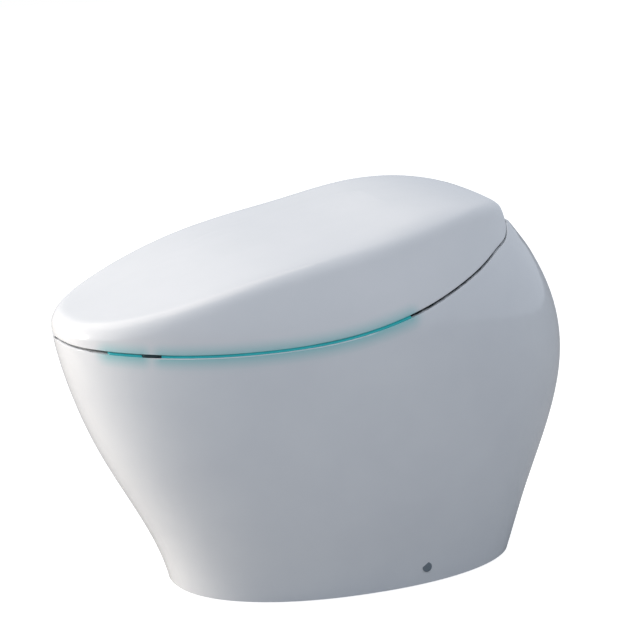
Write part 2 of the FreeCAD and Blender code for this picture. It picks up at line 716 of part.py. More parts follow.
def wand_rack():
    depth, pitch, half = size("tooth_depth"), size("tooth_pitch"), size("rack_height") / 2
    start = size("wand_radius")
    length = size("wand_length") - RACK_START
    bar = Part.makeBox(depth * 0.5, length, 2 * half, Vector(start, RACK_START, -half))
    teeth = []
    count = int(length / pitch)
    first = PINION_BACK - pitch * int((PINION_BACK - RACK_START) / pitch)
    for number in range(count):
        back = first + pitch * number
        if back + pitch / 2 > size("wand_length"):
            break
        corners = [Vector(start + depth * 0.5, back - 0.62, -half), Vector(start + depth * 0.5, back + 0.62, -half),
                   Vector(start + depth * 2, back + 0.3, -half), Vector(start + depth * 2, back - 0.3, -half)]
        teeth.append(Part.Face(Part.makePolygon(corners + corners[:1])).extrude(Vector(0, 0, 2 * half)))
    rack = bar.fuse(teeth)
    return rack.cut(along_y(start, 0, size("wand_length") + 1)).removeSplitter()


def wand_pinion():
    depth, half = size("tooth_depth"), size("rack_height") / 2
    pitch_radius = size("pinion_radius")
    root, tip = pitch_radius - depth * 0.65, pitch_radius + depth * 0.45
    count = round(2 * math.pi * pitch_radius / size("tooth_pitch"))
    centre = Vector(PINION_ACROSS, PINION_BACK, -half)
    wheel = Part.makeCylinder(root, 2 * half, centre)
    teeth = []
    for number in range(count):
        corners = [Vector(root - 0.5, -0.6, 0), Vector(tip, -0.3, 0), Vector(tip, 0.3, 0), Vector(root - 0.5, 0.6, 0)]
        tooth = Part.Face(Part.makePolygon(corners + corners[:1])).extrude(Vector(0, 0, 2 * half))
        tooth.rotate(Vector(), Vector(0, 0, 1), 180 + 360 * (number + 0.5) / count)
        tooth.translate(centre)
        teeth.append(tooth)
    shaft = Part.makeCylinder(2, 12, Vector(PINION_ACROSS, PINION_BACK, -half - 10))
    return wheel.fuse([shaft, *teeth]).removeSplitter()


HOUSING_TOP, HOUSING_START, HOUSING_END = 12, 12, 112


def wand_housing():
    right = PINION_ACROSS + size("pinion_radius") + 4
    half = size("housing_half")
    shell = Part.makeBox(right + half, HOUSING_END - HOUSING_START, 2 * HOUSING_TOP,
                         Vector(-half, HOUSING_START, -HOUSING_TOP))
    gap = size("guide_clearance")
    bore = along_y(size("wand_radius") + gap, 0, 200)
    slot_half = size("rack_height") / 2 + gap
    slot = Part.makeBox(size("tooth_depth") * 2.4 + gap + 4, 200, 2 * slot_half, Vector(size("wand_radius") - 4, 0,
                                                                                      -slot_half))
    tooth_tip = size("pinion_radius") + size("tooth_depth") * 0.45 + 0.5
    pocket = Part.makeCylinder(tooth_tip, 2 * slot_half, Vector(PINION_ACROSS, PINION_BACK, -slot_half))
    shaft = Part.makeCylinder(2.05, 40, Vector(PINION_ACROSS, PINION_BACK, -40))
    shell = placed(shell.cut([bore, slot, pocket, shaft]), WAND_PLACE)
    foot = Part.makeBox(right + half, 20, 40, Vector(-half, 116, PLATE_TOP))
    above = placed(Part.makeBox(200, 300, 100, Vector(-100, -50, -HOUSING_TOP)), WAND_PLACE)
    return shell.fuse(foot.cut(above)).removeSplitter()


def wand_motor():
    top = -HOUSING_TOP
    motor = Part.makeCylinder(9, 22, Vector(PINION_ACROSS, PINION_BACK, top - 22))
    return motor.cut(Part.makeCylinder(2.05, 5, Vector(PINION_ACROSS, PINION_BACK, top - 4)))


for name, make in (("wand_nozzle", wand_nozzle), ("wand_tube", wand_tube), ("wand_rack", wand_rack),
                   ("wand_pinion", wand_pinion), ("wand_motor", wand_motor)):
    node(name, tilted(name.title().replace("_", ""), make(), WAND_PLACE))
node("wand_housing", feature("WandHousing", wand_housing()))


# Warm-air dryer: a blower wheel on an X shaft, a tilted duct and a flap over its mouth.
DRYER_X = size("dryer_across")
DRYER_CENTRE = (150, 430)
DUCT_PLACE = FreeCAD.Placement(Vector(DRYER_X, 57, 381), TILT)
DUCT_HALF, DUCT_HIGH, DUCT_WALL = 13, 9, 1.5
FLAP_PIN, EAR, FLAP_RISE = 1.2, 2, 1.8


def x_cylinder(radius, low, high, back, height):
    return Part.makeCylinder(radius, high - low, Vector(low, back, height), Vector(1, 0, 0))


def dryer_housing():
    half, wall = size("fan_width") / 2 + size("fan_clearance"), 2
    outer = x_cylinder(size("dryer_radius"), DRYER_X - half, DRYER_X + half, *DRYER_CENTRE)
    inner = x_cylinder(size("dryer_radius") - wall, DRYER_X - half + wall, DRYER_X + half - wall, *DRYER_CENTRE)
    duct = placed(Part.makeBox(2 * DUCT_HALF, 80, 2 * DUCT_HIGH, Vector(-DUCT_HALF, 0, -DUCT_HIGH)), DUCT_PLACE)
    hollow = placed(Part.makeBox(2 * (DUCT_HALF - DUCT_WALL), 82, 2 * (DUCT_HIGH - DUCT_WALL),
                                 Vector(DUCT_WALL - DUCT_HALF, -1, DUCT_WALL - DUCT_HIGH)), DUCT_PLACE)
    ears, bores = [], []
    for side in (1, -1):
        low = min(side * (DUCT_HALF + 0.3), side * (DUCT_HALF + 0.3 + EAR))
        ear = Part.makeBox(EAR, 8, 8, Vector(low, -3.5, DUCT_HIGH - 3))
        root = Part.makeBox(EAR + 1, 4, 6, Vector(min(side * (DUCT_HALF - 0.7), side * (DUCT_HALF + 0.3 + EAR)), 1,
                                                  DUCT_HIGH - 3))
        ears += [placed(ear, DUCT_PLACE), placed(root, DUCT_PLACE)]
        bores.append(placed(x_cylinder(FLAP_PIN + 0.05, low - 1, low + EAR + 1, -1.2, DUCT_HIGH + FLAP_RISE), DUCT_PLACE))
    shaft_hole = x_cylinder(size("shaft_radius") + 0.05, DRYER_X, DRYER_X + 40, *DRYER_CENTRE)
    shell = outer.fuse([duct, *ears]).cut([inner, hollow, shaft_hole, *bores])
    return shell


def fan_wheel(radius, width, hub_radius, blades):
    back = Part.makeCylinder(radius, 1.5, Vector(0, 0, -width / 2))
    core = Part.makeCylinder(hub_radius, width, Vector(0, 0, -width / 2))
    vanes = []
    for number in range(blades):
        vane = Part.makeBox(radius * 0.35, 1.2, width, Vector(radius * 0.65, -0.6, -width / 2))
        vane.rotate(Vector(), Vector(0, 0, 1), 360 * number / blades)
        vanes.append(vane.common(Part.makeCylinder(radius, width, Vector(0, 0, -width / 2))))
    return back.fuse([core, *vanes])


def dryer_fan_wheel():
    width = size("fan_width") - 4
    wheel = fan_wheel(size("dryer_radius") - 6, width, 7, 14)
    return wheel.fuse(Part.makeCylinder(size("shaft_radius"), width / 2 + 14)).removeSplitter()


def dryer_motor():
    start = DRYER_X + size("fan_width") / 2 + size("fan_clearance")
    motor = x_cylinder(12, start, start + 16, *DRYER_CENTRE)
    return motor.cut(x_cylinder(size("shaft_radius") + 0.05, start - 1, start + 12, *DRYER_CENTRE))


def dryer_heater():
    wide, high = DUCT_HALF - DUCT_WALL, DUCT_HIGH - DUCT_WALL
    heater_block = Part.makeBox(2 * wide, 20, 2 * high, Vector(-wide, 22, -high))
    slots = [Part.makeBox(2.4, 22, 2 * high - 3, Vector(-wide + 1.9 + 4.1 * number, 21, 1.5 - high))
             for number in range(5)]
    return heater_block.cut(slots)


def dryer_flap():
    plate = Part.makeBox(2 * DUCT_HALF - 1, 1.4, 2 * DUCT_HIGH - 1.6, Vector(0.5 - DUCT_HALF, -1.9, 0.6 - DUCT_HIGH))
    knuckle = x_cylinder(1.6, 0.5 - DUCT_HALF, DUCT_HALF - 0.5, -1.2, DUCT_HIGH + FLAP_RISE)
    neck = Part.makeBox(2 * DUCT_HALF - 1, 1.2, 1.4 + FLAP_RISE, Vector(0.5 - DUCT_HALF, -1.8, DUCT_HIGH - 1.4))
    reach = DUCT_HALF + 0.3 + EAR
    pin = x_cylinder(FLAP_PIN, -reach, reach, -1.2, DUCT_HIGH + FLAP_RISE)
    return plate.fuse([knuckle, neck, pin]).removeSplitter()


node("dryer_housing", feature("DryerHousing", dryer_housing()))
node("dryer_fan_wheel", tilted("DryerFanWheel", dryer_fan_wheel(),
                               FreeCAD.Placement(Vector(DRYER_X, *DRYER_CENTRE), TURNS["x"])))
node("dryer_motor", feature("DryerMotor", dryer_motor()))
node("dryer_heater", tilted("DryerHeater", dryer_heater(), DUCT_PLACE))
node("dryer_flap", tilted("DryerFlap", dryer_flap(), DUCT_PLACE))


# Deodoriser: filter in front, fan under a small motor, all in one box on the base plate.
SCENT = "scent_across"
SCENT_FAN_BACK, SCENT_HALF, SCENT_WALL = 140, 17, 2
scent_z = ("rim_height + plate_thickness", "rim_height + plate_thickness + 32")
scent_outer = box("ScentOuter", (SCENT + " - 17", SCENT + " + 17"), (114, 158), scent_z)
scent_inner = box("ScentInner", (SCENT + " - 15", SCENT + " + 15"), (110, 156),
                  ("rim_height + plate_thickness + 2", "rim_height + plate_thickness + 30"))
scent_vent = cylinder("ScentVent", 8, "y", (SCENT, 150, "rim_height + plate_thickness + 12"), 20)
node("deodorizer_housing", cut("ScentHousing", scent_outer, scent_inner, scent_vent))
filter_block = box("FilterBlock", (SCENT + " - 15", SCENT + " + 15"), (112, 121),
                   ("rim_height + plate_thickness + 2", "rim_height + plate_thickness + 30"))
cells = [box("FilterCell", (SCENT + " + %g" % (-13 + 5.4 * number), SCENT + " + %g" % (-9 + 5.4 * number)), (111, 122),
             ("rim_height + plate_thickness + 5", "rim_height + plate_thickness + 27")) for number in range(5)]
node("deodorizer_filter", cut("ScentFilter", filter_block, *cells))
SCENT_FLOOR = PLATE_TOP + 2
SCENT_CENTRE = Vector(size("scent_across"), SCENT_FAN_BACK, SCENT_FLOOR + 8)
scent_wheel = fan_wheel(13, 12, 5, 10).fuse(Part.makeCylinder(1.5, 14)).removeSplitter()
node("deodorizer_fan_wheel", tilted("ScentWheel", scent_wheel, FreeCAD.Placement(SCENT_CENTRE, TURNS["z"])))
motor_low = SCENT_CENTRE.z + 7.5
scent_motor = Part.makeCylinder(8, PLATE_TOP + 30 - motor_low, Vector(SCENT_CENTRE.x, SCENT_CENTRE.y, motor_low))
scent_motor = scent_motor.cut(Part.makeCylinder(1.55, 8, Vector(SCENT_CENTRE.x, SCENT_CENTRE.y, motor_low - 1)))
node("deodorizer_motor", feature("ScentMotor", scent_motor))


# Water and electrics in the bay behind the bowl.
node("water_heater", box("WaterHeater", ("2 - bracket_inner", "bracket_inner - 2"), (190, 242),
                         ("rim_height + plate_thickness", "rim_height + plate_thickness + 70")))
node("booster_tank", cylinder("BoosterTank", 40, "z", (75, 165, "shelf_height"), 92))
node("flush_pump", cylinder("FlushPump", 22, "y", (140, 118, "shelf_height + 22"), 68))
node("power_supply", box("PowerSupply", (35, 115), (240, 296), ("shelf_height", "shelf_height + 40")))
board = box("Board", (-150, -40), (115, 225), ("shelf_height + 10", "shelf_height + 12"))
posts = [cylinder("BoardPost", 3, "z", (x, y, "shelf_height"), 10) for x in (-144, -46) for y in (121, 219)]
chips = [box("Relay", (-140, -110), (130, 160), ("shelf_height + 12", "shelf_height + 30")),
         box("Processor", (-90, -70), (150, 170), ("shelf_height + 12", "shelf_height + 15")),
         box("Terminal", (-130, -60), (200, 212), ("shelf_height + 12", "shelf_height + 26"))]
node("circuit_board", fuse("CircuitBoard", board, *posts, *chips))
valve_z = ("inlet_height - 20", "inlet_height + 10")
valve = fuse("InletValveBody", box("ValveBlock", ("inlet_across - 18", "inlet_across + 18"), (252, 290), valve_z),
             box("ValveFoot", ("inlet_across - 14", "inlet_across + 14"), (256, 286),
                 ("shelf_height", "inlet_height - 20")))
node("inlet_valve", valve)
inlet = cylinder("InletTube", "inlet_radius", "y", ("inlet_across", 290, "inlet_height"), 108)
inlet_bore = cylinder("InletBore", 7, "y", ("inlet_across", 295, "inlet_height"), 105)
node("water_inlet", cut("WaterInlet", inlet, inlet_bore))
gland = cylinder("GlandTube", "gland_radius", "y", ("gland_across", 366, "inlet_height"), 32)
gland_bore = cylinder("GlandBore", 4, "y", ("gland_across", 365, "inlet_height"), 40)
node("cable_gland", cut("CableGland", gland, gland_bore))
node("water_hose", feature("WaterHose", tube([HOSE_START, (HOSE_START[0], 270, 362), (HOSE_END[0], 222, 368),
                                              HOSE_END], 9, 5)))
jet = cylinder("JetTube", 7, "y", (60, 38, "port_floor + 7"), 87.2)
jet_bore = cylinder("JetBore", 4.5, "y", (60, 37, "port_floor + 7"), 80)
node("flush_jet", cut("FlushJet", jet, jet_bore))

# Fixings at the floor and the waste outlet.
FACE = surface_at(size("side_screw_back"), size("side_screw_height"))
sides = "side_screw_back", "side_screw_height"
sheet.set("A%d" % (len(SIZES) + 1), "skirt_at_screw")
sheet.set("B%d" % (len(SIZES) + 1), "%.3f" % FACE)
sheet.setAlias("B%d" % (len(SIZES) + 1), "skirt_at_screw")
doc.recompute()
tab_outer = "skirt_at_screw - ceramic_wall - bracket_gap"
foot_plate = box("BracketFoot", (tab_outer + " - 44", tab_outer), ("side_screw_back - 20", "side_screw_back + 20"),
                 (0, "bracket_plate"))
tab = box("BracketTab", (tab_outer + " - bracket_plate", tab_outer),
          ("side_screw_back - 20", "side_screw_back + 20"), (0, "side_screw_height + 14"))
floor_hole = cylinder("BracketHole", "screw_radius", "z", (tab_outer + " - 26", "side_screw_back", -1), 10)
tab_hole = cylinder("BracketThread", "screw_radius", "x", (tab_outer + " - 10", *sides), 20)
node("floor_brackets", pair("FloorBrackets", cut("FloorBracket", fuse("BracketL", foot_plate, tab), floor_hole,
                                                 tab_hole)))
screw = fuse("SideScrew", cylinder("SideShank", "screw_radius", "x", (tab_outer + " - 12", *sides),
                                   "12 + bracket_gap + ceramic_wall * 2 / 3"),
             cylinder("SideHead", "screw_radius + 2.5", "x", ("skirt_at_screw - ceramic_wall / 3", *sides), 2))
node("side_screws", pair("SideScrews", screw))
node("side_screw_caps", pair("SideCaps", cylinder("SideCap", "cap_radius", "x",
                                                  ("skirt_at_screw - ceramic_wall / 3 + 2", *sides), 3.6)))
outlet = (0, "outlet_back")
collar_inner = "trap_radius + trap_wall + 4"
flange = fuse("FlangeBody", cylinder("FlangePlate", "trap_radius + trap_wall + 28", "z", (*outlet, 0), 4),
              cylinder("FlangeCollar", collar_inner + " + 4", "z", (*outlet, 0), 26))
node("outlet_connector", cut("OutletConnector", flange, cylinder("FlangeBore", "trap_radius + 2", "z", (*outlet, -1), 10),
                             cylinder("CollarBore", collar_inner, "z", (*outlet, 4), 30)))
node("outlet_seal", cut("OutletSeal", cylinder("SealOuter", collar_inner, "z", (*outlet, 10), 12),
                        cylinder("SealBore", "trap_radius + trap_wall", "z", (*outlet, 9), 14)))

doc.recompute()
for item in doc.Objects:
    assert not {"Invalid", "Error"} & set(item.State), item.Label
for name, item in NODES.items():
    shape = item.Shape
    assert not shape.isNull() and shape.isValid(), name
    print(name, len(shape.Solids), round(shape.Volume), "mm3")
    shape.exportStep("parts/%s.step" % name)
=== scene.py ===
import json
import math

import bpy
from mathutils import Matrix, Vector
from mathutils.bvhtree import BVHTree


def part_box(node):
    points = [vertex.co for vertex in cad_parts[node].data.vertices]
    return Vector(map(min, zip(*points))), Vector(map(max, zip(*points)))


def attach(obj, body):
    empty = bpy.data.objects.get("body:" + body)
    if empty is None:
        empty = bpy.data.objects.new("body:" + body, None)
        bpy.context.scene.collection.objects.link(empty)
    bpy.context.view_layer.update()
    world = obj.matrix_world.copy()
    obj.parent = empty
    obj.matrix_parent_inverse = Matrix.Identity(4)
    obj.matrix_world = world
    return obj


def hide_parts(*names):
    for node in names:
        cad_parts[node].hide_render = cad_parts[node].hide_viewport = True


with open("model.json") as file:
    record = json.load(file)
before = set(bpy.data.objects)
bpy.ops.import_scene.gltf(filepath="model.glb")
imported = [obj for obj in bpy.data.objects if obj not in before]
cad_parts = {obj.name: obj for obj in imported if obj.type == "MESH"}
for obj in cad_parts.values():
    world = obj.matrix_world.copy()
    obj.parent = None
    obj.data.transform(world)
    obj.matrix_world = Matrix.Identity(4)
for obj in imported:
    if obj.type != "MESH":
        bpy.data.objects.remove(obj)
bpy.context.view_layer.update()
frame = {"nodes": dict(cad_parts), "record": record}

nodes = frame["nodes"]
print("loaded", len(nodes), "nodes")


view = {
    "turn": 66.45,          # degrees round the object, as in the photograph
    "rise": 14.19,
    "distance": 3.569,
    "lens": 136.3,
    "sensor": 36,
    "farthest": 50,
    "aim": (0.0, 0.0, 0.28),
    "slideRight": 0.0033,
    "slideUp": 0.106,
}

studio = {
    "worldColour": "#E4ECF8",
    "worldStrength": 0.69,
    "floorColour": "#B4B4B4",
    "floorGlow": 0.86,      # lifts the lit floor to white and leaves its shadow
    "floorWidth": 14,
    "floorDrop": 0.0005,
}
keySoftbox = {
    "place": (-0.6, -1.0, 2.6), "aim": (0, 0, 0.35),
    "power": 21.0, "width": 2.4, "colour": "#FFF3E4",
}
frontSoftbox = {
    "place": (-1.3, -2.9, 0.35), "aim": (0, 0, 0.25),
    "power": 112.0, "width": 1.6, "colour": "#FFF5E9",
}


def linear(hexColour, alpha=1.0):
    channels = [int(hexColour[place:place + 2], 16) / 255 for place in (1, 3, 5)]
    return [c / 12.92 if c <= 0.04045 else ((c + 0.055) / 1.055) ** 2.4 for c in channels] + [alpha]


def addNode(tree, kind, settings=None, links=None):
    node = tree.nodes.new(kind)
    for key, value in (settings or {}).items():
        if isinstance(key, int) or key in node.inputs:
            node.inputs[key].default_value = value
        else:
            setattr(node, key, value)
    for key, source in (links or {}).items():
        tree.links.new(source, node.inputs[key])
    return node


def startMaterial(name):
    material = bpy.data.materials.new(name)
    material.use_nodes = True
    tree = material.node_tree
    tree.nodes.clear()
    return material, tree


def placeCamera():
    turn, rise = math.radians(view["turn"]), math.radians(view["rise"])
    back = Vector((math.sin(turn) * math.cos(rise), -math.cos(turn) * math.cos(rise), math.sin(rise)))
    right = Vector((math.cos(turn), math.sin(turn), 0))
    up = back.cross(right)
    aim = Vector(view["aim"]) + right * view["slideRight"] + up * view["slideUp"]
    lens = bpy.data.cameras.new("photoCamera")
    lens.lens = view["lens"]
    lens.sensor_width = view["sensor"]
    lens.clip_end = view["farthest"]
    camera = bpy.data.objects.new("photoCamera", lens)
    bpy.context.scene.collection.objects.link(camera)
    facing = Matrix((right, up, back)).transposed().to_4x4()
    camera.matrix_world = Matrix.Translation(aim + back * view["distance"]) @ facing
    bpy.context.scene.camera = camera


def addSoftbox(name, look):
    lamp = bpy.data.lights.new(name, "AREA")
    lamp.shape = "SQUARE"
    lamp.size = look["width"]
    lamp.energy = look["power"]
    lamp.color = linear(look["colour"])[:3]
    box = bpy.data.objects.new(name, lamp)
    bpy.context.scene.collection.objects.link(box)
    box.location = look["place"]
    box.rotation_euler = (Vector(look["aim"]) - Vector(look["place"])).to_track_quat("-Z", "Y").to_euler()


def lightStudio():
    scene = bpy.context.scene
    scene.view_settings.view_transform = "Standard"
    world = bpy.data.worlds.new("studio")
    scene.world = world
    world.use_nodes = True
    tree = world.node_tree
    tree.nodes.clear()
    path = addNode(tree, "ShaderNodeLightPath")
    soft = addNode(tree, "ShaderNodeBackground",
                   {"Color": linear(studio["worldColour"]), "Strength": studio["worldStrength"]})
    white = addNode(tree, "ShaderNodeBackground", {"Color": (1, 1, 1, 1), "Strength": 1.0})
    blend = addNode(tree, "ShaderNodeMixShader",
                    links={0: path.outputs["Is Camera Ray"], 1: soft.outputs[0], 2: white.outputs[0]})
    addNode(tree, "ShaderNodeOutputWorld", links={"Surface": blend.outputs[0]})
    addSoftbox("keySoftbox", keySoftbox)
    addSoftbox("frontSoftbox", frontSoftbox)


def layFloor():
    material, tree = startMaterial("matteStudioPaper")  # seamless white paper, no sheen
    path = addNode(tree, "ShaderNodeLightPath")
    seen = addNode(tree, "ShaderNodeMath", {"operation": "MAXIMUM"},
                   {0: path.outputs["Is Camera Ray"], 1: path.outputs["Is Transmission Ray"]})
    level = addNode(tree, "ShaderNodeMath", {"operation": "MULTIPLY", 1: studio["floorGlow"]},
                    {0: seen.outputs[0]})
    glow = addNode(tree, "ShaderNodeEmission", {"Color": (1, 1, 1, 1)}, {"Strength": level.outputs[0]})
    paper = addNode(tree, "ShaderNodeBsdfDiffuse", {"Color": linear(studio["floorColour"])})
    both = addNode(tree, "ShaderNodeAddShader", links={0: paper.outputs[0], 1: glow.outputs[0]})
    addNode(tree, "ShaderNodeOutputMaterial", links={"Surface": both.outputs[0]})
    bpy.ops.object.select_all(action="DESELECT")
    bpy.ops.mesh.primitive_plane_add(size=studio["floorWidth"], location=(0, 0, -studio["floorDrop"]))
    floor = bpy.context.object
    floor.name = "floor"
    floor.data.materials.append(material)


placeCamera()
lightStudio()
layFloor()
print("camera, lights and floor are in place")


# Sizes in the looks are millimetres: cloudSize of the tone's mottle, grainSize and depth of the grain.
pattern = {"cloudDetail": 3.0, "grainDetail": 2.0, "toneSpan": (0.3, 0.7), "coatRoughness": 0.03}
mixInputs = {"first": 6, "second": 7, "result": 2}      # the Mix node's colour sockets


def mixColours(tree, factor, first, second):
    mix = addNode(tree, "ShaderNodeMix", {"data_type": "RGBA"}, {"Factor": factor})
    for key, colour in (("first", first), ("second", second)):
        if isinstance(colour, str):
            mix.inputs[mixInputs[key]].default_value = linear(colour)
        else:
            tree.links.new(colour, mix.inputs[mixInputs[key]])
    return mix.outputs[mixInputs["result"]]


def mottled(name, look):
    material, tree = startMaterial(name)
    spot = addNode(tree, "ShaderNodeTexCoord").outputs["Object"]
    cloud = addNode(tree, "ShaderNodeTexNoise",
                    {"Scale": 1000 / look["cloudSize"], "Detail": pattern["cloudDetail"]}, {"Vector": spot})
    tone = addNode(tree, "ShaderNodeValToRGB", links={"Fac": cloud.outputs["Fac"]})
    shades = look["dark"], look["light"]
    for stop, place, shade in zip(tone.color_ramp.elements, pattern["toneSpan"], shades):
        stop.position = place
        stop.color = linear(shade)
    colour = tone.outputs["Color"]
    if "paintedGlow" in look:      # painted glow: the teal of the strip's light is mixed into the base colour of the pale surface beside it
        paintedGlowFade = addNode(tree, "ShaderNodeAttribute", {"attribute_name": "paintedGlowShare"})
        colour = mixColours(tree, paintedGlowFade.outputs["Fac"], colour, look["paintedGlow"])
    least, most = look["roughness"]
    rough = addNode(tree, "ShaderNodeMapRange", {"To Min": least, "To Max": most},
                    {"Value": cloud.outputs["Fac"]})
    grain = addNode(tree, "ShaderNodeTexNoise",
                    {"Scale": 1000 / look["grainSize"], "Detail": pattern["grainDetail"]}, {"Vector": spot})
    bump = addNode(tree, "ShaderNodeBump", {"Strength": look["bump"], "Distance": look["depth"] / 1000},
                   {"Height": grain.outputs["Fac"]})
    surface = addNode(tree, "ShaderNodeBsdfPrincipled",
                      {"IOR": look.get("ior", 1.5), "Metallic": look.get("metallic", 0.0),
                       "Coat Weight": look.get("coat", 0.0), "Coat Roughness": pattern["coatRoughness"]},
                      {"Base Color": colour, "Roughness": rough.outputs["Result"],
                       "Normal": bump.outputs["Normal"]})
    addNode(tree, "ShaderNodeOutputMaterial", links={"Surface": surface.outputs[0]})
    return material


# teal of the strip's light, painted into the base colour of the glaze and the lid beside the strip
paintedGlowTeal = "#7FD0D2"
china = {  # vitreous china, sprayed and fired glaze: deep gloss with a slight orange-peel wave
    "dark": "#E9EBEE", "light": "#EFF1F3", "cloudSize": 140, "roughness": (0.08, 0.14),
    "grainSize": 9, "bump": 0.12, "depth": 0.12, "ior": 1.52, "coat": 0.35, "paintedGlow": paintedGlowTeal,
}
lidPlastic = {  # compression-moulded urea resin, polished tool: hard white gloss
    "dark": "#EAECEE", "light": "#F0F1F3", "cloudSize": 180, "roughness": (0.16, 0.24),
    "grainSize": 6, "bump": 0.08, "depth": 0.06, "ior": 1.5, "coat": 0.2, "paintedGlow": paintedGlowTeal,
}
seatPlastic = {  # polypropylene with an antibacterial filler, satin tool
    "dark": "#E6E8EA", "light": "#EEEFF1", "cloudSize": 120, "roughness": (0.22, 0.3),
    "grainSize": 3, "bump": 0.1, "depth": 0.05, "ior": 1.49,
}
coverPlastic = {  # ABS, fine spark-eroded texture
    "dark": "#DFE2E5", "light": "#E8EAEC", "cloudSize": 60, "roughness": (0.32, 0.42),
    "grainSize": 1.2, "bump": 0.25, "depth": 0.05, "ior": 1.53,
}
darkRubber = {  # moulded EPDM, matt
    "dark": "#152F34", "light": "#1D3B40", "cloudSize": 12, "roughness": (0.5, 0.65),
    "grainSize": 0.8, "bump": 0.4, "depth": 0.08,
}
paleRubber = {  # moulded silicone
    "dark": "#C3C6C8", "light": "#CDD0D1", "cloudSize": 20, "roughness": (0.55, 0.7),
    "grainSize": 1, "bump": 0.3, "depth": 0.06,
}
stainless = {  # drawn and brushed stainless steel
    "dark": "#9A9C9E", "light": "#B4B6B8", "cloudSize": 20, "roughness": (0.2, 0.32),
    "grainSize": 0.6, "bump": 0.2, "depth": 0.02, "metallic": 1.0,
}
zincPlate = {  # pressed steel, zinc plated
    "dark": "#8E9396", "light": "#A9ADAE", "cloudSize": 8, "roughness": (0.35, 0.5),
    "grainSize": 0.9, "bump": 0.2, "depth": 0.03, "metallic": 1.0,
}
nylon = {  # injection-moulded natural nylon
    "dark": "#D3D0C4", "light": "#DEDBD0", "cloudSize": 15, "roughness": (0.4, 0.5),
    "grainSize": 1, "bump": 0.2, "depth": 0.04,
}
blackPlastic = {  # glass-filled black nylon
    "dark": "#151617", "light": "#1E1F21", "cloudSize": 20, "roughness": (0.45, 0.6),
    "grainSize": 0.9, "bump": 0.35, "depth": 0.06,
}
greyPlastic = {  # ABS coloured in the mass
    "dark": "#6F7A82", "light": "#7D8890", "cloudSize": 25, "roughness": (0.35, 0.48),
    "grainSize": 1, "bump": 0.25, "depth": 0.05,
}
boardGreen = {  # solder mask over glass epoxy
    "dark": "#0C4A26", "light": "#135E32", "cloudSize": 6, "roughness": (0.25, 0.4),
    "grainSize": 0.7, "bump": 0.3, "depth": 0.04,
}
heaterFoil = {  # aluminium foil pressed over the heating wire
    "dark": "#B9B3A8", "light": "#CFCAC0", "cloudSize": 9, "roughness": (0.25, 0.4),
    "grainSize": 2, "bump": 0.5, "depth": 0.12, "metallic": 1.0,
}
turnedBrass = {  # turned brass, bright
    "dark": "#A98343", "light": "#C49C55", "cloudSize": 9, "roughness": (0.2, 0.32),
    "grainSize": 0.7, "bump": 0.2, "depth": 0.02, "metallic": 1.0,
}
carbonCells = {  # activated carbon granules
    "dark": "#101011", "light": "#222324", "cloudSize": 2, "roughness": (0.7, 0.9),
    "grainSize": 1.5, "bump": 0.8, "depth": 0.3,
}
smokedLens = {  # polished smoked acrylic
    "dark": "#05080A", "light": "#0A0F12", "cloudSize": 20, "roughness": (0.04, 0.08),
    "grainSize": 4, "bump": 0.02, "depth": 0.02, "coat": 1.0,
}
diffuser = {"colour": "#2C9096", "dim": "#217F86", "strength": 0.75, "scale": 60.0, "roughness": 0.35}


def glowMaterial():
    material, tree = startMaterial("tealLightDiffuser")  # extruded acrylic diffuser over a strip of diodes
    spot = addNode(tree, "ShaderNodeTexCoord").outputs["Object"]
    dots = addNode(tree, "ShaderNodeTexNoise", {"Scale": diffuser["scale"]}, {"Vector": spot})
    tone = mixColours(tree, dots.outputs["Fac"], diffuser["dim"], diffuser["colour"])
    surface = addNode(tree, "ShaderNodeBsdfPrincipled",
                      {"Roughness": diffuser["roughness"], "Emission Strength": diffuser["strength"]},
                      {"Base Color": tone, "Emission Color": tone})
    addNode(tree, "ShaderNodeOutputMaterial", links={"Surface": surface.outputs[0]})
    return material


finishes = {
    "ceramic": mottled("glazedVitreousChina", china),
    "lid_plastic": mottled("polishedUreaResin", lidPlastic),
    "seat_plastic": mottled("satinPolypropylene", seatPlastic),
    "cover_plastic": mottled("texturedAbs", coverPlastic),
    "light_guide": glowMaterial(),
    "dark_rubber": mottled("darkRubber", darkRubber),
    "pale_rubber": mottled("paleSiliconeRubber", paleRubber),
    "steel": mottled("brushedStainlessSteel", stainless),
    "zinc_steel": mottled("zincPlatedSteel", zincPlate),
    "nylon": mottled("naturalNylon", nylon),
    "black_plastic": mottled("blackNylon", blackPlastic),
    "grey_plastic": mottled("greyAbs", greyPlastic),
    "circuit_green": mottled("greenSolderMask", boardGreen),
    "heater_foil": mottled("aluminiumFoil", heaterFoil),
    "brass": mottled("turnedBrass", turnedBrass),
    "carbon": mottled("activatedCarbon", carbonCells),
    "lens": mottled("smokedAcrylic", smokedLens),
    "indicator": glowMaterial(),
}
slotOf = {part["node"]: part["material_slot"] for part in frame["record"]["subparts"]}
shading = {"nodeAngle": 30, "pieceAngle": 40, "weld": 0.00002, "merge": 0.00001}


def activate(piece):
    bpy.ops.object.select_all(action="DESELECT")
    piece.select_set(True)
    bpy.context.view_layer.objects.active = piece


def dressNode(name):
    piece = nodes[name]
    for slot in piece.material_slots:
        slot.material = finishes[slotOf[name]]
    activate(piece)
    bpy.ops.object.shade_smooth_by_angle(angle=math.radians(shading["nodeAngle"]))
    weld = piece.modifiers.new("weld", "WELD")
    weld.merge_threshold = shading["weld"]
    even = piece.modifiers.new("evenNormals", "WEIGHTED_NORMAL")     # long thin triangles shade as one face
    even.keep_sharp = True


for name in nodes:
    dressNode(name)
print("materials are on")


# The lid and the glaze are grids of profiles that are taken off the solids by rays towards their middle.
lipSteps = (0.0, 0.0004, 0.0014, 0.004, 0.011)      # rows beside the gap, close together for a crisp lip
rays = {"from": 1.7, "length": 1.6, "above": 0.7, "drop": 0.5, "edgeStep": 0.001, "halvings": 18}
plan = Vector((1, 1, 0))        # keeps a vector's share that is seen from above


